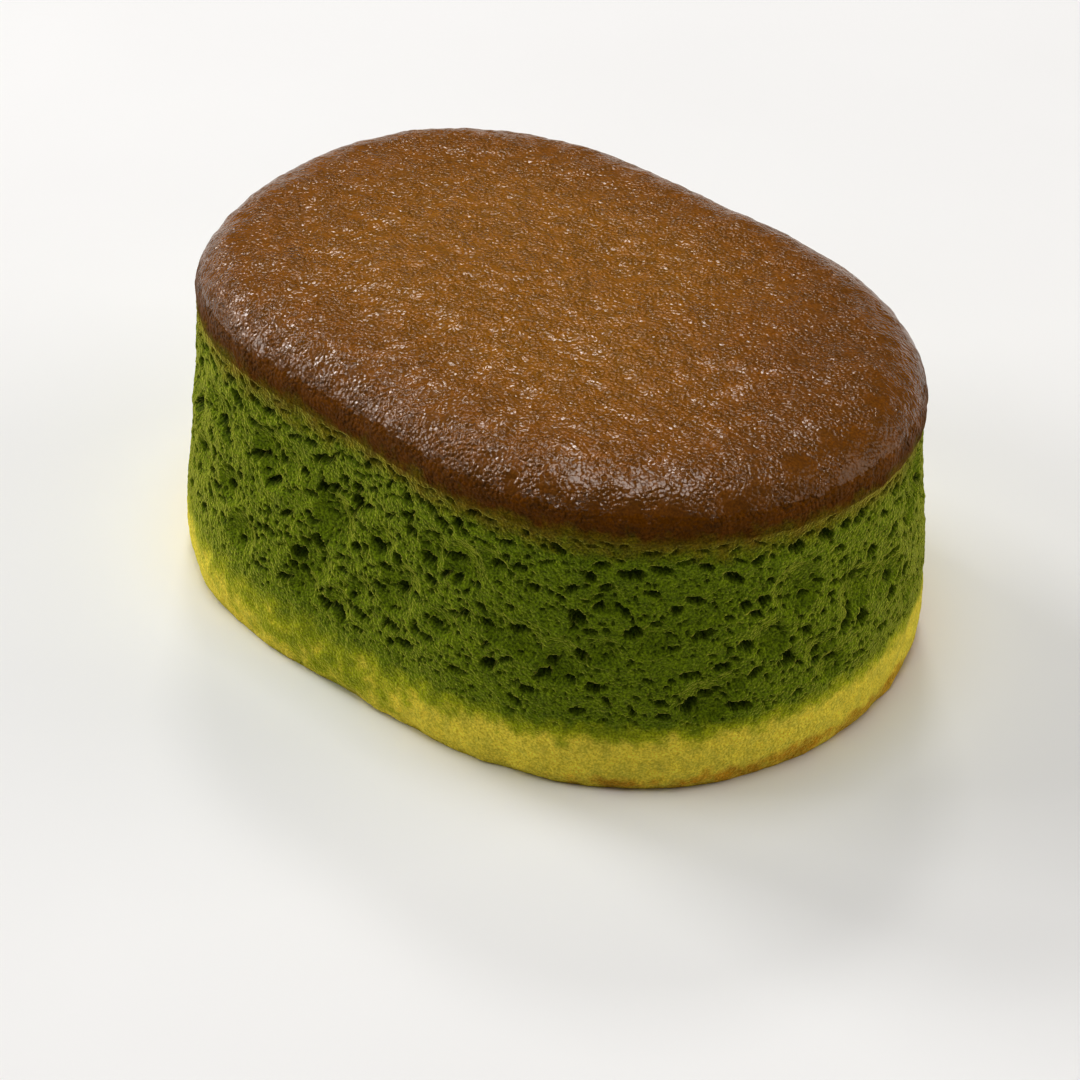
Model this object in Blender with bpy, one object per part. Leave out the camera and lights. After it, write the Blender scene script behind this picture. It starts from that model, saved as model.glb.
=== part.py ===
"""Oval matcha souffle cake baked on a thin plain sponge base.

Two solids, one on the other: sponge_base, the flat pale sponge that the cake was
baked on, and souffle, the tall green crumb with its browned, rounded top.
Metres, +Z up. The origin is at the middle of the cake's box, on the table.
The long side with the faint waist faces +Y.
"""

import math
import random

import bmesh
import bpy
from mathutils import Vector, noise

# Driving dimensions.
LENGTH = 0.080  # plan outline at the rim, end to end
WIDTH = 0.0578  # plan outline at the rim, side to side
HEIGHT = 0.0342  # the top's middle above the table
RIM_HEIGHT = 0.0274  # lower edge of the browned skin
SPONGE_HEIGHT = 0.0068  # thickness of the plain sponge base
LAYER_GAP = 0.0003  # clearance between the two solids
CUT_HEIGHT = SPONGE_HEIGHT + LAYER_GAP

# Plan outline: an oval, with shares of its mean radius that pull it out of true.
OVAL = (LENGTH - WIDTH) / (LENGTH + WIDTH)
EGG = 0.0055  # makes one end a little wider than the other
WAIST = 0.0223  # flattens both long sides, so that the back one has a faint waist
WAIST_TURN = math.radians(9.5)
BLUNT = 0.0076  # makes one end blunter than the other
BLUNT_TURN = math.radians(8.6)
MEAN_RADIUS = LENGTH / 2 / (1 + OVAL - WAIST * math.cos(4 * WAIST_TURN))

# Side wall, in metres outwards from the plan outline.
FOOT_TUCK = 0.0013  # the sponge's bottom edge is rounded in by this much
FOOT_ROUND = 0.0033  # height over which it rounds out again
BELLY = 0.0004  # bulge of the wall at mid height
SPREAD = 0.0003  # the cake spreads a little towards the table,
FRONT_SPREAD = 0.0027  # more along the left of its front
FRONT_SPREAD_AT = math.radians(-110)
FRONT_SPREAD_REACH = math.radians(51)
END_SPREAD = 0.0008  # and more at its right end
END_SPREAD_AT = math.radians(28)
END_SPREAD_REACH = math.radians(17)

# Top: the skin's short upright side rolls over into a top that is nearly flat.
EDGE_HEIGHT = 0.0006  # the crumb ends this far under the skin's lower edge
SKIN_SIDE = 0.0016  # height of the skin's upright side
OVERHANG = 0.0004  # that side stands out from the wall by this much at its right end
OVERHANG_AT = math.radians(22)
OVERHANG_REACH = math.radians(35)
ROLL_IN = 0.0064  # how far in from the wall the roll reaches
DOME = 0.0004  # rise of the middle above the end of the roll
BACK_SLOPE = -0.081  # the top falls towards the back, as a share per mean radius

# Relief of the crumb and the skin.
WALL_WAVE = 0.0004
WALL_WAVE_LENGTH = 0.009
WALL_WAVE_END = 0.8  # the wall's unevenness dies out from this share of the rim's height
SKIN_WAVE = 0.0003
SKIN_WAVE_LENGTH = 0.016
PORE_COUNT = 90
PORE_WIDTH = (0.0017, 0.0030)
PORE_DEPTH = (0.0005, 0.0011)
PORE_MARGIN = 0.0036  # the pores' middles keep this far from the cut and the rim
PORE_SEED = 11

# How finely the solids are divided.
AROUND = 150
SPONGE_RINGS = 5
CRUMB_RINGS = 15
ROLL_RINGS = 8
TOP_RINGS = 4
TOP_REACH = 0.8  # the rings of the top stop at this share of the way to the middle
SMOOTH_UP_TO = math.radians(60)

GREEN_CRUMB = (0.100, 0.190, 0.014, 1)
BROWN_SKIN = (0.190, 0.068, 0.012, 1)
PALE_SPONGE = (0.550, 0.450, 0.070, 1)


def smooth_step(share):
    """0 up to 0 and 1 from 1 on, with level ends."""
    share = min(1.0, max(0.0, share))
    return share * share * (3 - 2 * share)


def hump(angle, at, reach):
    """1 at one angle, and falling away to both sides of it."""
    turn = (angle - at + math.pi) % (2 * math.pi) - math.pi
    return math.exp(-((turn / reach) ** 2))


def outline_point(angle):
    """The point of the plan outline that the middle sees at this angle."""
    share = 1 + OVAL * math.cos(2 * angle) + EGG * math.cos(3 * angle)
    share -= WAIST * math.cos(4 * (angle - WAIST_TURN))
    share += BLUNT * math.cos(5 * (angle - BLUNT_TURN))
    return Vector((math.cos(angle), math.sin(angle), 0)) * MEAN_RADIUS * share


def outward(angle):
    """The outline's outward direction at this angle."""
    step = 0.001
    along = outline_point(angle + step) - outline_point(angle - step)
    return Vector((along.y, -along.x, 0)).normalized()


def foot_spread(angle):
    """How far the foot of the cake stands out at this angle."""
    spread = SPREAD + FRONT_SPREAD * hump(angle, FRONT_SPREAD_AT, FRONT_SPREAD_REACH)
    return spread + END_SPREAD * hump(angle, END_SPREAD_AT, END_SPREAD_REACH)


def wall_offset(angle, height):
    """Where the side wall stands, outwards from the plan outline."""
    share = height / RIM_HEIGHT
    offset = foot_spread(angle) * (1 - smooth_step(share))
    offset += BELLY * math.sin(math.pi * min(1.0, share))
    foot = 1 - min(1.0, height / FOOT_ROUND)
    return offset - FOOT_TUCK * foot * foot


def wave(point, height, size, length):
    """Slow unevenness of a surface, without a seam."""
    return size * noise.noise(Vector((point.x, point.y, height)) / length)


def lifted(point, height):
    """The point at this height, before the fall of the top that grows above the cut."""
    fall = 1 + BACK_SLOPE * point.y / MEAN_RADIUS
    return point + Vector((0, 0, CUT_HEIGHT + (height - CUT_HEIGHT) * fall))


def scatter_pores():
    """The large pores of the wall: place on the outline, height, width and depth."""
    draw = random.Random(PORE_SEED)
    pores = []
    for index in range(PORE_COUNT):
        angle = 2 * math.pi * (index + draw.random()) / PORE_COUNT
        height = draw.uniform(CUT_HEIGHT + PORE_MARGIN, RIM_HEIGHT - PORE_MARGIN)
        size = draw.random() ** 2
        width = PORE_WIDTH[0] + size * (PORE_WIDTH[1] - PORE_WIDTH[0])
        depth = PORE_DEPTH[0] + size * (PORE_DEPTH[1] - PORE_DEPTH[0])
        pores.append((outline_point(angle), height, width, depth))
    return pores


PORES = scatter_pores()


def pore_depth(point, height):
    """How deep the large pores cut into the wall here."""
    deepest = 0.0
    for centre, pore_height, width, depth in PORES:
        reach = math.hypot((point - centre).length, height - pore_height) / width
        if reach < 1:
            deepest = max(deepest, depth * (1 - reach * reach))
    return deepest


def wall_point(angle, height, porous):
    """A point of the side wall, seen from above."""
    rim = outline_point(angle)
    evenness = smooth_step((height / RIM_HEIGHT - WALL_WAVE_END) / (1 - WALL_WAVE_END))
    unevenness = wave(rim, height, WALL_WAVE, WALL_WAVE_LENGTH)
    offset = wall_offset(angle, height) + unevenness * (1 - evenness)
    if porous:
        offset -= pore_depth(rim, height)
    return rim + outward(angle) * offset


def sponge_ring(height):
    """A ring of the sponge base's wall."""

    def place(angle):
        return wall_point(angle, height, porous=False) + Vector((0, 0, height))

    return place


def crumb_ring(height):
    """A ring of the green crumb's wall, from the flat cut up to the skin."""

    def place(angle):
        return lifted(wall_point(angle, height, porous=True), height)

    return place


def skin_ring(inwards, height, share_to_middle=0.0):
    """A ring of the skin, inwards from the outline and then on towards the middle."""
    bulge = OVERHANG * smooth_step((height - RIM_HEIGHT) / SKIN_SIDE)

    def place(angle):
        stand = bulge * hump(angle, OVERHANG_AT, OVERHANG_REACH) - inwards
        point = (outline_point(angle) + outward(angle) * stand) * (1 - share_to_middle)
        return lifted(point, height + wave(point, height, SKIN_WAVE, SKIN_WAVE_LENGTH))

    return place


def spaced(first, last, count):
    """count evenly spaced values, both ends included."""
    return [first + (last - first) * step / (count - 1) for step in range(count)]


def sponge_rings():
    """The sponge base from its rounded foot to its flat top."""
    foot = [FOOT_ROUND * share * share for share in spaced(0, 1, SPONGE_RINGS - 1)]
    return [sponge_ring(height) for height in [*foot, SPONGE_HEIGHT]]


def souffle_rings():
    """The souffle from its flat cut, up the wall, over the roll and across the top."""
    widest = RIM_HEIGHT + SKIN_SIDE
    shoulder = HEIGHT - DOME
    crumb_top = RIM_HEIGHT - EDGE_HEIGHT
    rings = [crumb_ring(height) for height in spaced(CUT_HEIGHT, crumb_top, CRUMB_RINGS)]
    rings.append(skin_ring(0, RIM_HEIGHT))
    for turn in spaced(0, math.pi / 2, ROLL_RINGS):
        height = widest + (shoulder - widest) * math.sin(turn)
        rings.append(skin_ring(ROLL_IN * (1 - math.cos(turn)), height))
    for share in spaced(0, TOP_REACH, TOP_RINGS + 1)[1:]:
        height = shoulder + DOME * (1 - (1 - share) ** 2)
        rings.append(skin_ring(ROLL_IN, height, share))
    return rings


def principled(name, colour, roughness):
    """A plain Principled material."""
    material = bpy.data.materials.new(name)
    material.use_nodes = True
    material.diffuse_color = colour
    shader = material.node_tree.nodes["Principled BSDF"]
    shader.inputs["Base Color"].default_value = colour
    shader.inputs["Roughness"].default_value = roughness
    shader.inputs["Metallic"].default_value = 0
    return material


def loft(name, rings, materials, second_material_from):
    """A closed solid: a drum with one edge loop for each ring, moved ring by ring into place."""
    drum = bmesh.new()
    depth = len(rings) - 1
    bmesh.ops.create_cone(drum, cap_ends=True, segments=AROUND, radius1=1, radius2=1, depth=depth)
    upright = [e for e in drum.edges if abs(e.verts[0].co.z - e.verts[1].co.z) > depth / 2]
    bmesh.ops.subdivide_edges(drum, edges=upright, cuts=depth - 1, use_grid_fill=True)
    for face in drum.faces:
        ring = round(min(vert.co.z for vert in face.verts) + depth / 2)
        face.material_index = int(ring >= second_material_from)
    for vert in drum.verts:
        ring = round(vert.co.z + depth / 2)
        vert.co = rings[ring](math.atan2(vert.co.y, vert.co.x))
    bmesh.ops.recalc_face_normals(drum, faces=drum.faces[:])
    mesh = bpy.data.meshes.new(name)
    drum.to_mesh(mesh)
    drum.free()
    mesh.shade_smooth()
    mesh.set_sharp_from_angle(angle=SMOOTH_UP_TO)
    for material in materials:
        mesh.materials.append(material)
    return bpy.data.objects.new(name, mesh)


def centre_on_box(pieces):
    """Moves the meshes so that the middle of their common box is over the origin."""
    points = [vert.co for piece in pieces for vert in piece.data.vertices]
    middle_x = (max(p.x for p in points) + min(p.x for p in points)) / 2
    middle_y = (max(p.y for p in points) + min(p.y for p in points)) / 2
    for piece in pieces:
        for vert in piece.data.vertices:
            vert.co -= Vector((middle_x, middle_y, 0))
    print(f"plan outline moved by {-middle_x:.6f}, {-middle_y:.6f}")


def main():
    for old in list(bpy.data.objects):
        bpy.data.objects.remove(old)
    green = principled("green_crumb", GREEN_CRUMB, 0.85)
    brown = principled("browned_skin", BROWN_SKIN, 0.45)
    pale = principled("pale_sponge", PALE_SPONGE, 0.85)
    sponge = loft("sponge_base", sponge_rings(), [pale], SPONGE_RINGS + 1)
    souffle = loft("souffle", souffle_rings(), [green, brown], CRUMB_RINGS)
    centre_on_box([sponge, souffle])
    cake = bpy.data.collections.new("matcha_souffle_cake")
    bpy.context.scene.collection.children.link(cake)
    for piece in (sponge, souffle):
        cake.objects.link(piece)


main()
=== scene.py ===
"""Looks of an oval matcha souffle cake: plain sponge base, green crumb and browned skin."""

import math
import random

import bmesh
import bpy
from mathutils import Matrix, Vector, kdtree, noise


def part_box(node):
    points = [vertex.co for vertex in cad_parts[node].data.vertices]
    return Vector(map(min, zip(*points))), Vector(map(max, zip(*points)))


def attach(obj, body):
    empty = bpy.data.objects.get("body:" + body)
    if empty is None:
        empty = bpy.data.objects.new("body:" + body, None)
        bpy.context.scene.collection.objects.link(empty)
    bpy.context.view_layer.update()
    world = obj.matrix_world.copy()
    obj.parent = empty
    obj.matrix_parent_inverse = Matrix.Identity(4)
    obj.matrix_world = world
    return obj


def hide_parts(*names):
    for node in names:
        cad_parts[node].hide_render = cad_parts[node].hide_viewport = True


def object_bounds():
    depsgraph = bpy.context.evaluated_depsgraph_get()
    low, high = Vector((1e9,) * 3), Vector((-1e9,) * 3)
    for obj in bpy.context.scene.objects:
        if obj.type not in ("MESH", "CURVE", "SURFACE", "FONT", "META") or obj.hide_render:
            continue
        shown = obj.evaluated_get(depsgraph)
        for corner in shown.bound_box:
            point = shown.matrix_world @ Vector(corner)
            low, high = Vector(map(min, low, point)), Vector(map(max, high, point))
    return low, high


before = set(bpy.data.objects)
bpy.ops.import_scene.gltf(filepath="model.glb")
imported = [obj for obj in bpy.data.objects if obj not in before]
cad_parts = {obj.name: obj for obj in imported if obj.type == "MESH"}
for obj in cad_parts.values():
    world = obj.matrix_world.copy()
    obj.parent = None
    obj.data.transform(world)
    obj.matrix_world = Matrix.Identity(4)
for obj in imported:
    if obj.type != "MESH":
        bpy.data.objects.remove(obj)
cad_low, cad_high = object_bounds()

# ---- Sponge base ---------------------------------------------------------------------
# A thin oval of plain yellow sponge, baked in the bottom of the ring before the green
# batter is poured on it. It browns where it lay on the hot tray, and its top soaks up
# some of the green, so the two layers run into each other.

MM = 0.001
TABLE = cad_low.z
CUT = (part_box("sponge_base")[1].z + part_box("souffle")[0].z) / 2
RIM_HEIGHT = 27.4 * MM

# The oval that the ring gave the cake, and what pulled it out of true in the oven.
LENGTH = 80 * MM
WIDTH = 57.8 * MM
OVAL = (LENGTH - WIDTH) / (LENGTH + WIDTH)
EGG = 0.0055
WAIST = 0.0223
WAIST_TURN = math.radians(9.5)
BLUNT = 0.0076
BLUNT_TURN = math.radians(8.6)
MEAN_RADIUS = LENGTH / 2 / (1 + OVAL - WAIST * math.cos(4 * WAIST_TURN))
OVAL_CENTRE = Vector((-0.243 * MM, 1.001 * MM, 0))  # from the middle of the cake's box

# The wall: a tucked-in foot, a slight belly, and a foot that spread in two places.
FOOT_TUCK = 0.5 * MM
FOOT_ROUND = 3.3 * MM
BELLY = 0.4 * MM
SPREAD = 0.3 * MM
FRONT_SPREAD = 2.7 * MM
FRONT_SPREAD_AT = math.radians(-110)
FRONT_SPREAD_REACH = math.radians(51)
END_SPREAD = 0.8 * MM
END_SPREAD_AT = math.radians(28)
END_SPREAD_REACH = math.radians(17)
WALL_WAVE = 0.4 * MM
WALL_WAVE_LENGTH = 9 * MM
WALL_WAVE_END = 0.8

# The baked surface: length and depth of its undulation, from soft swells to granules.
GRAIN = (
    (3.2 * MM, 0.14 * MM),
    (1.5 * MM, 0.12 * MM),
    (0.75 * MM, 0.08 * MM),
    (0.4 * MM, 0.04 * MM),
)
TRAY_SMOOTH = 0.5 * MM  # the wall is smoother where it lay against the tray
TRAY_LEAST = 0.4

SPONGE_AROUND = 1150
SPONGE_RINGS = 40
JOIN_DIP = 0.35 * MM  # where two pieces cross, each bends in under the other by this much
JOIN_REACH = 0.6 * MM  # over this much of the wall
FOOT_SCALLOP = 0.35 * MM  # the foot's edge is ragged by this much
FOOT_SCALLOP_LENGTH = 2.6 * MM

# The line between the layers' colours: higher at the cake's ends, lower along its front,
# where the sponge below it is stained too.
LAYER_LINE_RISE = 1.6 * MM
LAYER_LINE_FALL = 3.4 * MM
LAYER_LINE_AT = math.radians(-93)
LAYER_LINE_REACH = math.radians(40)
LAYER_LINE_FOOT = 1.5 * MM  # between this height and the next one, the line is free to shift
LAYER_LINE_TOP = 14 * MM
STAIN = 0.85
STAIN_HEIGHT = 6.7 * MM


def smooth_step(share):
    """0 up to 0 and 1 from 1 on, with level ends."""
    share = min(1.0, max(0.0, share))
    return share * share * (3 - 2 * share)


def hump(angle, at, reach):
    """1 at one angle, and falling away to both sides of it."""
    turn = (angle - at + math.pi) % (2 * math.pi) - math.pi
    return math.exp(-((turn / reach) ** 2))


def oval_point(angle):
    """The point of the cake's oval that its middle sees at this angle."""
    share = 1 + OVAL * math.cos(2 * angle) + EGG * math.cos(3 * angle)
    share -= WAIST * math.cos(4 * (angle - WAIST_TURN))
    share += BLUNT * math.cos(5 * (angle - BLUNT_TURN))
    return Vector((math.cos(angle), math.sin(angle), 0)) * MEAN_RADIUS * share


def outward(angle):
    """The oval's outward direction at this angle."""
    step = 0.001
    along = oval_point(angle + step) - oval_point(angle - step)
    return Vector((along.y, -along.x, 0)).normalized()


def colour_height(angle, height):
    """The height whose colour the cake has here, on the ladder of its colours."""
    front = hump(angle, LAYER_LINE_AT, LAYER_LINE_REACH)
    shift = LAYER_LINE_FALL * front - LAYER_LINE_RISE
    near_line = smooth_step(height / LAYER_LINE_FOOT) * (1 - smooth_step(height / LAYER_LINE_TOP))
    line = height + shift * near_line
    return line + STAIN * front * max(0.0, STAIN_HEIGHT - line)


def foot_spread(angle):
    """How far the foot stands out at this angle."""
    spread = SPREAD + FRONT_SPREAD * hump(angle, FRONT_SPREAD_AT, FRONT_SPREAD_REACH)
    return spread + END_SPREAD * hump(angle, END_SPREAD_AT, END_SPREAD_REACH)


def wall_offset(angle, height):
    """Where the wall stands, outwards from the oval."""
    share = height / RIM_HEIGHT
    foot = 1 - min(1.0, height / FOOT_ROUND)
    offset = foot_spread(angle) * (1 - smooth_step(share))
    return offset + BELLY * math.sin(math.pi * min(1.0, share)) - FOOT_TUCK * foot * foot


def wall_wave(rim, height):
    """The slow unevenness of the wall, which dies out towards the rim."""
    evenness = smooth_step((height / RIM_HEIGHT - WALL_WAVE_END) / (1 - WALL_WAVE_END))
    wave = noise.noise(Vector((rim.x, rim.y, height)) / WALL_WAVE_LENGTH)
    return WALL_WAVE * wave * (1 - evenness)


def grain(point):
    """How far the baked surface stands out at this point, the same where two pieces meet."""
    return sum(depth * noise.noise(point / length) for length, depth in GRAIN)


def drum(around, rings):
    """A closed drum, and for each vertex its angle and its share of the way up."""
    shape = bmesh.new()
    bmesh.ops.create_cone(
        shape, cap_ends=True, segments=around, radius1=1, radius2=1, depth=1
    )
    upright = [e for e in shape.edges if abs(e.verts[0].co.z - e.verts[1].co.z) > 0.5]
    bmesh.ops.subdivide_edges(shape, edges=upright, cuts=rings - 1, use_grid_fill=True)
    places = [(math.atan2(v.co.y, v.co.x), v.co.z + 0.5) for v in shape.verts]
    return shape, places


def finished(shape, name, material, node):
    """The shape as a piece of the object, in place of its plain solid."""
    bmesh.ops.recalc_face_normals(shape, faces=shape.faces[:])
    mesh = bpy.data.meshes.new(name)
    shape.to_mesh(mesh)
    shape.free()
    mesh.shade_smooth()
    mesh.materials.append(material)
    piece = bpy.data.objects.new(name, mesh)
    bpy.context.scene.collection.objects.link(piece)
    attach(piece, "root")
    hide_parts(node)
    return piece


# The colours of the cake from the table up and in over its top, in linear light.
BROWNED_FOOT = (0.66, 0.36, 0.030)
YELLOW = (0.92, 0.77, 0.110)
YELLOW_GREEN = (0.40, 0.44, 0.012)
GREEN = (0.150, 0.222, 0.004)
OLIVE = (0.165, 0.135, 0.003)
SKIN_EDGE = (0.130, 0.044, 0.001)
SKIN_BROWN = (0.215, 0.076, 0.002)
SKIN_OCHRE = (0.275, 0.108, 0.003)

# Heights at which one colour has given way to the next; over the rim they go on inwards.
COLOUR_LADDER = (
    (0.0 * MM, BROWNED_FOOT),
    (1.1 * MM, YELLOW),
    (5.0 * MM, YELLOW),
    (6.4 * MM, YELLOW_GREEN),
    (8.0 * MM, GREEN),
    (RIM_HEIGHT - 1.6 * MM, GREEN),
    (RIM_HEIGHT + 0.4 * MM, OLIVE),
    (RIM_HEIGHT + 2.2 * MM, SKIN_EDGE),
    (RIM_HEIGHT + 9.0 * MM, SKIN_BROWN),
    (RIM_HEIGHT + 22.0 * MM, SKIN_OCHRE),
)
LADDER_TOP = 60 * MM
LADDER_RAG = 5.0 * MM  # the borders between the colours wander up and down by this much
LADDER_RAG_NOISE = (2.2 * MM, 4.0, 0.6)  # length, detail and roughness

# Heights between which crumb turns into skin, the skin gets its gloss, and the yellow
# layer's grains turn into the green one's.
SKIN_STARTS = (RIM_HEIGHT - 0.2 * MM, RIM_HEIGHT + 2.0 * MM)
GLOSS_STARTS = (RIM_HEIGHT + 1.5 * MM, RIM_HEIGHT + 3.5 * MM)
GREEN_STARTS = (5 * MM, 9 * MM)

# Unevenness of the finishes: length, detail, and how far from its middle it is cut off.
TINT_NOISE = (0.22 * MM, 1.0, 0.18)
MOTTLE_NOISE = (1.5 * MM, 3.0, 0.15)
SKIN_ROUGHNESS_NOISE = (1.1 * MM, 2.0, 0.20)
CRUMB_ROUGHNESS_NOISE = (1.0 * MM, 2.0, 0.20)
WRINKLE_NOISE = (2.4 * MM, 1.0, 0.10)

# The darkest and the lightest tint of each colour, in grains and in wider mottles.
YELLOW_TINTS = ((0.80, 0.80, 0.52), (1.18, 1.18, 1.15))
GREEN_TINTS = ((0.50, 0.52, 0.35), (1.50, 1.42, 1.40))
SKIN_TINTS = ((0.78, 0.75, 0.72), (1.22, 1.24, 1.23))
MOTTLE_TINTS = ((0.86, 0.88, 0.84), (1.12, 1.09, 0.97))
# Painted shade: the colour inside each bubble is darkened towards this tint, in place of the shade
# that falls in it.
PIT_PAINTED_SHADE = (0.22, 0.30, 0.12)  # at a bubble's bottom

# Least and greatest roughness of the moist skin and of the dry crumb.
SKIN_ROUGHNESS = (0.18, 0.26)
CRUMB_ROUGHNESS = (0.65, 0.90)

# Relief too fine for the mesh: tight wrinkles on the skin, torn granules on the crumb.
RELIEF_DEPTH = 0.22 * MM
WRINKLE_LENGTH = 0.40 * MM
WRINKLE_STRENGTH = (0.24, 0.85)  # shallow in some patches and deep in others
CRUMB_LENGTH = 0.30 * MM
GRANULE_LENGTH = 0.34 * MM
CRUMB_STRENGTH = 0.7

# The crumb's air cells catch light at grazing angles, which the shader's sheen stands for.
CRUMB_SPECULAR = 0.1
CRUMB_SHEEN = 0.8
SHEEN_ROUGHNESS = 0.4
SHEEN_TINT = (1.0, 0.92, 0.15)


class Finish:
    """A material's node tree, with short ways to add and join nodes."""

    def __init__(self, name):
        self.material = bpy.data.materials.new(name)
        self.material.use_nodes = True
        self.tree = self.material.node_tree
        self.shader = self.tree.nodes["Principled BSDF"]
        self.place = self.tree.nodes.new("ShaderNodeTexCoord").outputs["Object"]

    def join(self, source, target):
        """Joins an output to an input, or sets the input to a plain value."""
        if isinstance(source, bpy.types.NodeSocket):
            self.tree.links.new(source, target)
        elif isinstance(source, tuple) and len(source) == 3 and target.type == "RGBA":
            target.default_value = (*source, 1)
        else:
            target.default_value = source

    def attribute(self, name):
        """A number that the mesh holds at each vertex."""
        node = self.tree.nodes.new("ShaderNodeAttribute")
        node.attribute_name = name
        return node.outputs["Fac"]

    def noise(self, length, detail=2.0, roughness=0.5):
        """Noise with lumps of about this length, and with finer ones in them."""
        node = self.tree.nodes.new("ShaderNodeTexNoise")
        self.join(self.place, node.inputs["Vector"])
        node.inputs["Scale"].default_value = 1 / length
        node.inputs["Detail"].default_value = detail
        node.inputs["Roughness"].default_value = roughness
        return node.outputs["Fac"]

    def varied(self, unevenness, low=0.0, high=1.0):
        """Noise, cut off on both sides of its middle and stretched from low to high."""
        length, detail, reach = unevenness
        return self.span(self.noise(length, detail), 0.5 - reach, 0.5 + reach, low, high)

    def granules(self, length):
        """Rounded granules of about this length, 0 in their middles."""
        node = self.tree.nodes.new("ShaderNodeTexVoronoi")
        self.join(self.place, node.inputs["Vector"])
        node.inputs["Scale"].default_value = 1 / length
        return node.outputs["Distance"]

    def math(self, operation, *values):
        """One step of arithmetic."""
        node = self.tree.nodes.new("ShaderNodeMath")
        node.operation = operation
        for value, target in zip(values, node.inputs):
            self.join(value, target)
        return node.outputs[0]

    def span(self, value, low, high, to_low=0.0, to_high=1.0):
        """Takes the span from low to high to another span, and stops at its ends."""
        node = self.tree.nodes.new("ShaderNodeMapRange")
        self.join(value, node.inputs["Value"])
        limits = {"From Min": low, "From Max": high, "To Min": to_low, "To Max": to_high}
        for name, limit in limits.items():
            self.join(limit, node.inputs[name])
        return node.outputs["Result"]

    def ramp(self, value, stops):
        """Colours along a ramp, from (place, colour) pairs."""
        node = self.tree.nodes.new("ShaderNodeValToRGB")
        self.join(value, node.inputs["Fac"])
        elements = node.color_ramp.elements
        while len(elements) < len(stops):
            elements.new(1.0)
        for element, (place, colour) in zip(elements, stops):
            element.position = place
            element.color = (*colour, 1)
        return node.outputs["Color"]

    def mix(self, share, first, second, blend="MIX"):
        """Mixes two colours."""
        node = self.tree.nodes.new("ShaderNodeMix")
        node.data_type = "RGBA"
        node.blend_type = blend
        self.join(share, node.inputs[0])
        self.join(first, node.inputs[6])
        self.join(second, node.inputs[7])
        return node.outputs[2]

    def tinted(self, colour, tint, share=1.0):
        """The colour, multiplied by a tint where share is 1."""
        return self.mix(share, colour, tint, "MULTIPLY")

    def bump(self, height, depth):
        """Bumps of this depth where the height goes from 0 to 1."""
        node = self.tree.nodes.new("ShaderNodeBump")
        self.join(height, node.inputs["Height"])
        node.inputs["Distance"].default_value = depth
        return node.outputs["Normal"]


def ladder_colour(finish):
    """The cake's colour by its height, with ragged borders, and how far it is skin there."""
    rag = finish.math("SUBTRACT", finish.noise(*LADDER_RAG_NOISE), 0.5)
    rise = finish.math("MULTIPLY_ADD", rag, LADDER_RAG, finish.attribute("rise"))
    share = finish.math("DIVIDE", rise, LADDER_TOP)
    stops = [(height / LADDER_TOP, colour) for height, colour in COLOUR_LADDER]
    return finish.ramp(share, stops), finish.span(rise, *SKIN_STARTS)


def cake_colour(finish):
    """The cake's colour with its grains, mottles and painted shade in its bubbles, and how far it is
    skin.
    """
    colour, skin = ladder_colour(finish)
    grains = finish.varied(TINT_NOISE)
    green = finish.span(finish.attribute("rise"), *GREEN_STARTS)
    yellow_tint, green_tint, skin_tint = (
        finish.mix(grains, *tints) for tints in (YELLOW_TINTS, GREEN_TINTS, SKIN_TINTS)
    )
    crumb_tint = finish.mix(green, yellow_tint, green_tint)
    colour = finish.tinted(colour, finish.mix(skin, crumb_tint, skin_tint))
    colour = finish.tinted(colour, finish.mix(finish.varied(MOTTLE_NOISE), *MOTTLE_TINTS))
    # Painted shade: the colour is darkened inside the bubbles, the more the deeper they are.
    return finish.tinted(colour, PIT_PAINTED_SHADE, finish.attribute("pit_shade")), skin


def cake_roughness(finish):
    """Dry crumb, and moist skin from a little way over the rim."""
    skin = finish.varied(SKIN_ROUGHNESS_NOISE, *SKIN_ROUGHNESS)
    crumb = finish.varied(CRUMB_ROUGHNESS_NOISE, *CRUMB_ROUGHNESS)
    gloss = finish.span(finish.attribute("rise"), *GLOSS_STARTS)
    return finish.span(gloss, 0.0, 1.0, crumb, skin)


def cake_relief(finish, skin):
    """Granules where the cake is crumb, and wrinkles where it is skin."""
    domes = finish.granules(WRINKLE_LENGTH)
    domes = finish.math("MULTIPLY", domes, domes)
    wrinkles = finish.math("SUBTRACT", finish.noise(WRINKLE_LENGTH, 0.0), domes)
    wrinkles = finish.math("MULTIPLY", wrinkles, finish.varied(WRINKLE_NOISE, *WRINKLE_STRENGTH))
    granules = finish.granules(GRANULE_LENGTH)
    crumbs = finish.math("SUBTRACT", finish.noise(CRUMB_LENGTH, 2.0), granules)
    crumbs = finish.math("MULTIPLY", crumbs, CRUMB_STRENGTH)
    return finish.span(skin, 0.0, 1.0, crumbs, wrinkles)


def baked_finish(name, specular, sheen, relief_depth=RELIEF_DEPTH):
    """The cake's surface: crumb with dark bubbles below the rim, and moist skin above it."""
    finish = Finish(name)
    shader = finish.shader.inputs
    colour, skin = cake_colour(finish)
    finish.join(colour, shader["Base Color"])
    finish.join(cake_roughness(finish), shader["Roughness"])
    finish.join(finish.bump(cake_relief(finish, skin), relief_depth), shader["Normal"])
    shader["Specular IOR Level"].default_value = specular
    shader["Sheen Weight"].default_value = sheen
    shader["Sheen Roughness"].default_value = SHEEN_ROUGHNESS
    shader["Sheen Tint"].default_value = (*SHEEN_TINT, 1)
    return finish.material


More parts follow.
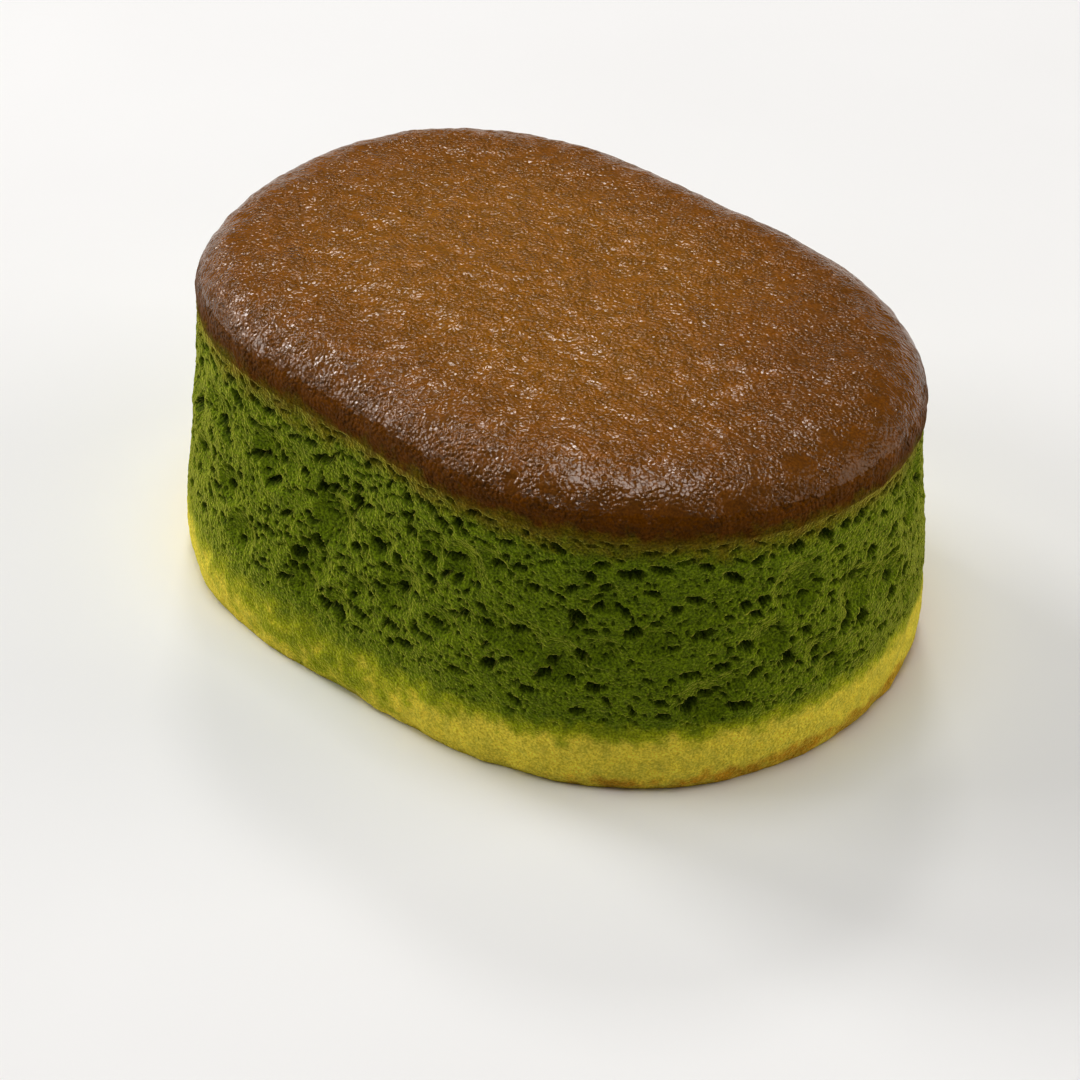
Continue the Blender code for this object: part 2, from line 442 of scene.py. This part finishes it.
def make_sponge():
    """The sponge's wall from its rounded foot up, a little past the cut."""
    shape, places = drum(SPONGE_AROUND, SPONGE_RINGS)
    rise = shape.verts.layers.float.new("rise")
    pit_shade = shape.verts.layers.float.new("pit_shade")
    top = CUT + JOIN_REACH
    for vert, (angle, share) in zip(shape.verts, places):
        height = top * share
        rim = oval_point(angle)
        out = outward(angle)
        point = rim + out * (wall_offset(angle, height) + wall_wave(rim, height))
        point.z = height
        scallop = FOOT_SCALLOP * noise.noise(point / FOOT_SCALLOP_LENGTH)
        stand = grain(point) + scallop * (1 - smooth_step(height / FOOT_ROUND))
        stand *= smooth_step(height / TRAY_SMOOTH + TRAY_LEAST)
        stand -= JOIN_DIP * smooth_step((height - CUT) / JOIN_REACH)
        vert.co = point + out * stand + OVAL_CENTRE
        vert[rise] = colour_height(angle, height)
        vert[pit_shade] = 0
    return shape


yellow_sponge = baked_finish("yellow_sponge", CRUMB_SPECULAR, CRUMB_SHEEN)
finished(make_sponge(), "sponge_layer", yellow_sponge, "sponge_base")

# ---- Green crumb ---------------------------------------------------------------------
# The souffle itself: matcha batter lightened with beaten egg white and baked in the ring
# in a water bath. When the ring comes off, its wall tears and opens hundreds of bubbles.
# The wall is made as three belts, one above the other.

BELTS = 3
BELT_AROUND = 1900
BELT_RINGS = 51
CRUMB_FOOT = CUT - JOIN_REACH
CRUMB_HEAD = RIM_HEIGHT + 1.6 * MM  # the crumb's wall ends this high, under the skin
SKIN_JOIN = RIM_HEIGHT + 0.9 * MM  # here the wall gives way to the skin's lower edge
SKIN_JOIN_REACH = 0.7 * MM
BACK_SLOPE = -0.081  # change of the souffle's height over a mean radius towards the back

# The skin's upright side stands out a little from the wall at the cake's right end.
SKIN_SIDE = 1.6 * MM
OVERHANG = 0.4 * MM
OVERHANG_AT = math.radians(22)
OVERHANG_REACH = math.radians(35)

DIMPLE_COUNT = 90
DIMPLE_WIDTH = (1.7 * MM, 3.0 * MM)
DIMPLE_DEPTH = (0.5 * MM, 1.1 * MM)
DIMPLE_MARGIN = 3.6 * MM
DIMPLE_SEED = 11

# Open bubbles: how many, between which heights, their smallest and largest half size,
# how much wider than high they are, and how deep, as a share of their half size.
BUBBLES = (
    (860, CUT + 2.0 * MM, RIM_HEIGHT - 0.8 * MM, 0.30 * MM, 0.90 * MM, (0.9, 1.6), (1.4, 2.2)),
    (280, RIM_HEIGHT - 2.6 * MM, RIM_HEIGHT + 0.6 * MM, 0.30 * MM, 0.60 * MM, (1.3, 2.4), (1.3, 2.0)),
    (3200, CUT + 0.4 * MM, RIM_HEIGHT - 0.2 * MM, 0.14 * MM, 0.28 * MM, (0.8, 1.4), (1.2, 1.8)),
)
BUBBLE_SEED = 5
BUBBLE_SMALL_BIAS = 2.0  # above one, small bubbles are the most
BUBBLE_APART = 0.85  # share of two bubbles' sizes that keeps them apart
BUBBLE_TRIES = 4
BUBBLE_TURN = 0.35
BUBBLE_TILT = 0.5  # bubbles run up into the crumb, so their upper edges overhang
BUBBLE_RAGGED = 0.50
BUBBLE_RAGGED_LENGTH = 0.50 * MM
BUBBLE_STEEP = 0.35  # below a half, a bubble's walls are steeper than a ball's
BUBBLE_NEAR = 1.6  # a bubble's ragged edge stays within this many of its half widths
BUBBLE_FADE = 1.5 * MM  # bubbles get shallower over this much of the wall above the sponge
# A bubble this deep gets the full painted shade.
FULL_PIT_SHADE_DEPTH = 0.5 * MM  # a bubble this deep is fully dark


def lifted(point, height):
    """The point at this height, before the fall of the top that grows above the cut."""
    fall = 1 + BACK_SLOPE * point.y / MEAN_RADIUS
    return Vector((point.x, point.y, CUT + (height - CUT) * fall))


def skin_overhang(angle, height):
    """How far the skin's side stands out from the wall below it."""
    bulge = OVERHANG * smooth_step((height - RIM_HEIGHT) / SKIN_SIDE)
    return bulge * hump(angle, OVERHANG_AT, OVERHANG_REACH)


def scatter_dimples():
    """Wide shallow dimples of the wall: middle, height, width and depth."""
    draw = random.Random(DIMPLE_SEED)
    dimples = []
    for index in range(DIMPLE_COUNT):
        angle = 2 * math.pi * (index + draw.random()) / DIMPLE_COUNT
        height = draw.uniform(CUT + DIMPLE_MARGIN, RIM_HEIGHT - DIMPLE_MARGIN)
        size = draw.random() ** 2
        width = DIMPLE_WIDTH[0] + size * (DIMPLE_WIDTH[1] - DIMPLE_WIDTH[0])
        depth = DIMPLE_DEPTH[0] + size * (DIMPLE_DEPTH[1] - DIMPLE_DEPTH[0])
        dimples.append((oval_point(angle), height, width, depth))
    return dimples


DIMPLES = scatter_dimples()


def dimple_depth(rim, height):
    """How deep the wide dimples go here."""
    deepest = 0.0
    for centre, dimple_height, width, depth in DIMPLES:
        if abs(height - dimple_height) < width:
            reach = math.hypot((rim - centre).length, height - dimple_height) / width
            if reach < 1:
                deepest = max(deepest, depth * (1 - reach * reach))
    return deepest


def wall_place(angle, height):
    """A point of the crumb's wall before its grain and bubbles, and its outward direction."""
    rim = oval_point(angle)
    out = outward(angle)
    offset = wall_offset(angle, height) + wall_wave(rim, height) - dimple_depth(rim, height)
    return lifted(rim + out * (offset + skin_overhang(angle, height)), height), out


def scatter_bubbles():
    """Open bubbles, kept apart: angle, height, half width, half height, turn and depth."""
    draw = random.Random(BUBBLE_SEED)
    bubbles = []
    columns = {}

    def crowded(place, height, size):
        """Whether a bubble of this size would run into one that is there already."""
        column = int(place / MM)
        for near in range(column - 2, column + 3):
            for other_place, other_height, other_size in columns.get(near, ()):
                gap = math.hypot(place - other_place, height - other_height)
                if gap < BUBBLE_APART * (size + other_size):
                    return True
        return False

    for count, low, high, smallest, largest, flat, deep in BUBBLES:
        for _ in range(count):
            size = smallest + (largest - smallest) * draw.random() ** BUBBLE_SMALL_BIAS
            wider = draw.uniform(*flat)
            turn = draw.gauss(0, BUBBLE_TURN)
            depth = size * draw.uniform(*deep)
            for _ in range(BUBBLE_TRIES):
                angle = 2 * math.pi * draw.random()
                height = draw.uniform(low, high)
                place = angle * MEAN_RADIUS
                if not crowded(place, height, size * wider):
                    columns.setdefault(int(place / MM), []).append((place, height, size * wider))
                    bubbles.append((angle, height, size * wider, size / wider, turn, depth))
                    break
    return bubbles


def carve_bubbles(points):
    """How deep the bubbles go at each of the points."""
    wall = kdtree.KDTree(len(points))
    for index, (point, *_) in enumerate(points):
        wall.insert(point, index)
    wall.balance()
    depths = [0.0] * len(points)
    noise.seed_set(BUBBLE_SEED)  # without it, noise_vector starts from the clock
    for angle, height, half_width, half_height, turn, depth in scatter_bubbles():
        centre, out = wall_place(angle, height)
        along = Vector((-out.y, out.x, 0))
        cosine, sine = math.cos(turn), math.sin(turn)
        for point, index, _ in wall.find_range(centre, max(half_width, half_height) * BUBBLE_NEAR):
            away = point - centre
            rag = noise.noise_vector(point / BUBBLE_RAGGED_LENGTH) * BUBBLE_RAGGED * half_height
            across = away.dot(along) + rag.x
            up = away.z + rag.y
            across, up = across * cosine + up * sine, up * cosine - across * sine
            reach = (across / half_width) ** 2 + (up / half_height) ** 2
            if reach < 1:
                depths[index] = max(depths[index], depth * (1 - reach) ** BUBBLE_STEEP)
    return depths


def make_belt(number):
    """One belt of the torn green wall, all round the cake."""
    shape, places = drum(BELT_AROUND, BELT_RINGS)
    rise = shape.verts.layers.float.new("rise")
    pit_shade = shape.verts.layers.float.new("pit_shade")
    points = []
    for angle, share in places:
        height = CRUMB_FOOT + (CRUMB_HEAD - CRUMB_FOOT) * (number + share) / BELTS
        points.append((*wall_place(angle, height), height, colour_height(angle, height)))
    depths = carve_bubbles(points)
    for vert, (point, out, height, colour), depth in zip(shape.verts, points, depths):
        low = smooth_step((CUT - height) / JOIN_REACH)
        high = smooth_step((height - SKIN_JOIN) / SKIN_JOIN_REACH)
        inward = depth * smooth_step((height - CUT) / BUBBLE_FADE) - grain(point)
        inward += JOIN_DIP * (low + high)
        vert.co = point - out * inward + OVAL_CENTRE
        vert.co.z += depth * BUBBLE_TILT
        vert[rise] = colour
        # How much painted shade the bubble's inside gets here, by its depth.
        vert[pit_shade] = min(1.0, depth / FULL_PIT_SHADE_DEPTH)
    caps = [face for face in shape.faces if len(face.verts) > 4]
    for cap in caps:
        for side in cap.edges:
            side.smooth = False
    return shape


green_crumb = baked_finish("green_crumb", CRUMB_SPECULAR, CRUMB_SHEEN)
for belt in range(BELTS):
    finished(make_belt(belt), f"crumb_belt_{belt + 1}", green_crumb, "souffle")

# ---- Browned skin --------------------------------------------------------------------
# The top of the batter dries to a thin skin in the oven and browns. It rolls over the
# rim, shines with the cake's own moisture, and is finely wrinkled all over, because the
# cake sank a little under it as it cooled.

SKIN_CELLS = 305
SOUFFLE_HEIGHT = 34.2 * MM
ROLL_IN = 6.4 * MM
DOME = 0.4 * MM
SKIN_WAVE = 0.3 * MM
SKIN_WAVE_LENGTH = 16 * MM
SKIN_TOP_SHARE = 0.72  # shares of the way from the middle to the skin's lower edge
SKIN_ROLL_SHARE = 0.94
SKIN_MATT_SHARE = 0.882  # from here out, the skin leant on the ring and stayed matt
SKIN_MATT_RAG = 0.012  # that border is ragged by this share, in lumps as long as the next
SKIN_MATT_RAG_LENGTH = 0.03
SKIN_LOW = SKIN_JOIN - SKIN_JOIN_REACH
SKIN_CRUMBLY = 1.6 * MM  # over this much above the join, the crumb's grain fades out
ROLL_LENGTH = 8.9 * MM  # the roll and the top, measured along the skin
TOP_LENGTH = 28 * MM

# Its wrinkles: length and depth, from soft swells to creases.
SKIN_GRAIN = (
    (7.0 * MM, 0.12 * MM),
    (3.2 * MM, 0.12 * MM),
    (1.5 * MM, 0.10 * MM),
    (0.7 * MM, 0.05 * MM),
)

BROWNER_AT = math.radians(20)  # the oven browned the top's edge furthest in at this end
BROWNER_REACH = math.radians(38)
BROWNER = 10 * MM
BROWNER_LEAST = RIM_HEIGHT + 6 * MM  # the roll below this keeps its own brown

SKIN_SPECULAR = 0.56
MATT_SPECULAR = 0.06
MATT_RELIEF_DEPTH = 0.45 * MM


def to_disc(x, y):
    """A square's point as distance and angle in a disc, with all cells kept alike."""
    if abs(x) > abs(y):
        return abs(x), math.pi / 4 * y / x + (math.pi if x < 0 else 0)
    if y == 0:
        return 0.0, 0.0
    return abs(y), math.pi / 2 - math.pi / 4 * x / y + (math.pi if y < 0 else 0)


def skin_profile(share):
    """Along the skin from its middle: share to the middle, inwards, height, lean and rise."""
    widest = RIM_HEIGHT + SKIN_SIDE
    shoulder = SOUFFLE_HEIGHT - DOME
    if share < SKIN_TOP_SHARE:
        to_middle = 1 - share / SKIN_TOP_SHARE
        height = shoulder + DOME * (1 - (1 - to_middle) ** 2)
        return to_middle, ROLL_IN, height, 0.0, widest + ROLL_LENGTH + TOP_LENGTH * to_middle
    if share < SKIN_ROLL_SHARE:
        way = (SKIN_ROLL_SHARE - share) / (SKIN_ROLL_SHARE - SKIN_TOP_SHARE)
        turn = math.pi / 2 * way
        inwards = ROLL_IN * (1 - math.cos(turn))
        height = widest + (shoulder - widest) * math.sin(turn)
        lean = math.atan2(ROLL_IN * math.sin(turn), (shoulder - widest) * math.cos(turn))
        return 0.0, inwards, height, math.pi / 2 - lean, widest + ROLL_LENGTH * way
    down = (share - SKIN_ROLL_SHARE) / (1 - SKIN_ROLL_SHARE)
    height = widest + (SKIN_LOW - widest) * down
    return 0.0, 0.0, height, math.pi / 2, height


def make_skin():
    """The skin from the middle of the top out over the roll, closed underneath."""
    shape = bmesh.new()
    bmesh.ops.create_grid(shape, x_segments=SKIN_CELLS, y_segments=SKIN_CELLS, size=1)
    rise = shape.verts.layers.float.new("rise")
    pit_shade = shape.verts.layers.float.new("pit_shade")
    for face in shape.faces:
        centre = face.calc_center_median()
        rag = SKIN_MATT_RAG * noise.noise(centre / SKIN_MATT_RAG_LENGTH)
        face.material_index = int(to_disc(centre.x, centre.y)[0] > SKIN_MATT_SHARE + rag)
    for vert in shape.verts:
        share, angle = to_disc(vert.co.x, vert.co.y)
        to_middle, inwards, height, lean, arc = skin_profile(share)
        out = outward(angle)
        stand = skin_overhang(angle, height) - inwards
        point = (oval_point(angle) + out * stand) * (1 - to_middle)
        wave = noise.noise(Vector((point.x, point.y, height)) / SKIN_WAVE_LENGTH)
        point = lifted(point, height + SKIN_WAVE * wave * (1 - lean / (math.pi / 2)))
        normal = out * math.sin(lean) + Vector((0, 0, math.cos(lean)))
        crumbly = smooth_step((SKIN_JOIN + SKIN_CRUMBLY - arc) / SKIN_CRUMBLY)
        wrinkle = sum(depth * noise.noise(point / length) for length, depth in SKIN_GRAIN)
        proud = wrinkle * (1 - crumbly) + grain(point) * crumbly
        proud -= JOIN_DIP * smooth_step((SKIN_JOIN - arc) / JOIN_REACH)
        vert.co = point + normal * proud + OVAL_CENTRE
        browner = BROWNER * hump(angle, BROWNER_AT, BROWNER_REACH) * (1 - crumbly)
        vert[rise] = max(min(arc, BROWNER_LEAST), arc - browner)
        vert[pit_shade] = 0
    border = [e for e in shape.edges if e.is_boundary]
    bmesh.ops.holes_fill(shape, edges=border, sides=len(border))
    return shape


browned_skin = baked_finish("browned_skin", SKIN_SPECULAR, 0.0)
skin = finished(make_skin(), "browned_skin", browned_skin, "souffle")

# The skin's matt lower edge, which make_skin gives the second material.
skin.data.materials.append(baked_finish("skin_edge", MATT_SPECULAR, 0.0, MATT_RELIEF_DEPTH))

# ---- Floor, light and camera ---------------------------------------------------------
# A pale studio floor, broad soft lights above the cake, behind it and to both sides, and
# a long lens that looks down on the cake's front right.

FLOOR_HALF_WIDTH = 1.5
FLOOR_SHADES = ((0.3, (0.855, 0.845, 0.838)), (0.7, (0.875, 0.866, 0.860)))
FLOOR_SHADE_LENGTH = 60 * MM
FLOOR_ROUGHNESS = 0.8

AIM = Vector((-3.60 * MM, 1.96 * MM, 0))  # the point of the floor in the picture's middle
CAMERA_BEARING = math.radians(-43.01)
CAMERA_HEIGHT = math.radians(36.39)
CAMERA_DISTANCE = 344.6 * MM
LENS = 108
SENSOR = 36

# Each light: its bearing from the camera's and its climb in degrees, its distance and
# width in metres, its power in watts, its colour, and whether shiny things mirror it.
WHITE = (1, 1, 1)
WARM = (1, 0.965, 0.91)
LIGHTS = {
    "above": (0, 90, 1.8, 0.90, 16.3, WHITE, True),
    "behind": (180, 47, 1.6, 0.26, 3.7, WHITE, True),
    "behind left": (-130, 34, 1.6, 0.42, 8.2, WHITE, True),
    "left": (-98, 27, 1.6, 0.60, 7.0, WHITE, True),
    "right": (92, 24, 1.6, 1.00, 4.4, WARM, True),
    "right polarised": (92, 24, 1.6, 1.00, 5.4, WARM, False),
}
ROOM_COLOUR = (1, 0.985, 0.965)
ROOM_STRENGTH = 0.085
DISPLAY_GAMMA = 0.85


def make_floor():
    """A wide pale floor."""
    shape = bmesh.new()
    bmesh.ops.create_grid(shape, x_segments=8, y_segments=8, size=FLOOR_HALF_WIDTH)
    mesh = bpy.data.meshes.new("floor")
    shape.to_mesh(mesh)
    shape.free()
    finish = Finish("pale_floor")
    shade = finish.ramp(finish.noise(FLOOR_SHADE_LENGTH, 3.0), FLOOR_SHADES)
    finish.join(shade, finish.shader.inputs["Base Color"])
    finish.shader.inputs["Roughness"].default_value = FLOOR_ROUGHNESS
    mesh.materials.append(finish.material)
    floor = bpy.data.objects.new("floor", mesh)
    floor.location.z = TABLE
    bpy.context.scene.collection.objects.link(floor)


def direction_to(bearing, climb):
    """The direction out from the cake at this bearing and climb."""
    level = math.cos(climb)
    return Vector((math.cos(bearing) * level, math.sin(bearing) * level, math.sin(climb)))


def soft_light(name, bearing, climb, distance, size, power, colour, mirrored):
    """A square area light that faces the cake."""
    light = bpy.data.lights.new(name, "AREA")
    light.size = size
    light.energy = power
    light.color = colour
    lamp = bpy.data.objects.new(name, light)
    direction = direction_to(CAMERA_BEARING + math.radians(bearing), math.radians(climb))
    lamp.location = direction * distance
    lamp.rotation_euler = direction.to_track_quat("Z", "Y").to_euler()
    lamp.visible_glossy = mirrored
    bpy.context.scene.collection.objects.link(lamp)


def make_world():
    """Even light from all round, as from a white room."""
    world = bpy.data.worlds.new("studio")
    world.use_nodes = True
    background = world.node_tree.nodes["Background"].inputs
    background["Color"].default_value = (*ROOM_COLOUR, 1)
    background["Strength"].default_value = ROOM_STRENGTH
    bpy.context.scene.world = world


def make_camera():
    """The camera, with the photo's angle and lens."""
    camera = bpy.data.objects.new("camera", bpy.data.cameras.new("camera"))
    camera.data.lens = LENS
    camera.data.sensor_width = SENSOR
    camera.data.clip_start = 10 * MM
    back = direction_to(CAMERA_BEARING, CAMERA_HEIGHT)
    camera.location = AIM + back * CAMERA_DISTANCE
    camera.rotation_euler = back.to_track_quat("Z", "Y").to_euler()
    bpy.context.scene.collection.objects.link(camera)
    bpy.context.scene.camera = camera


make_floor()
for name, light_values in LIGHTS.items():
    soft_light(name, *light_values)
make_world()
make_camera()
bpy.context.scene.view_settings.view_transform = "Standard"
bpy.context.scene.view_settings.gamma = DISPLAY_GAMMA
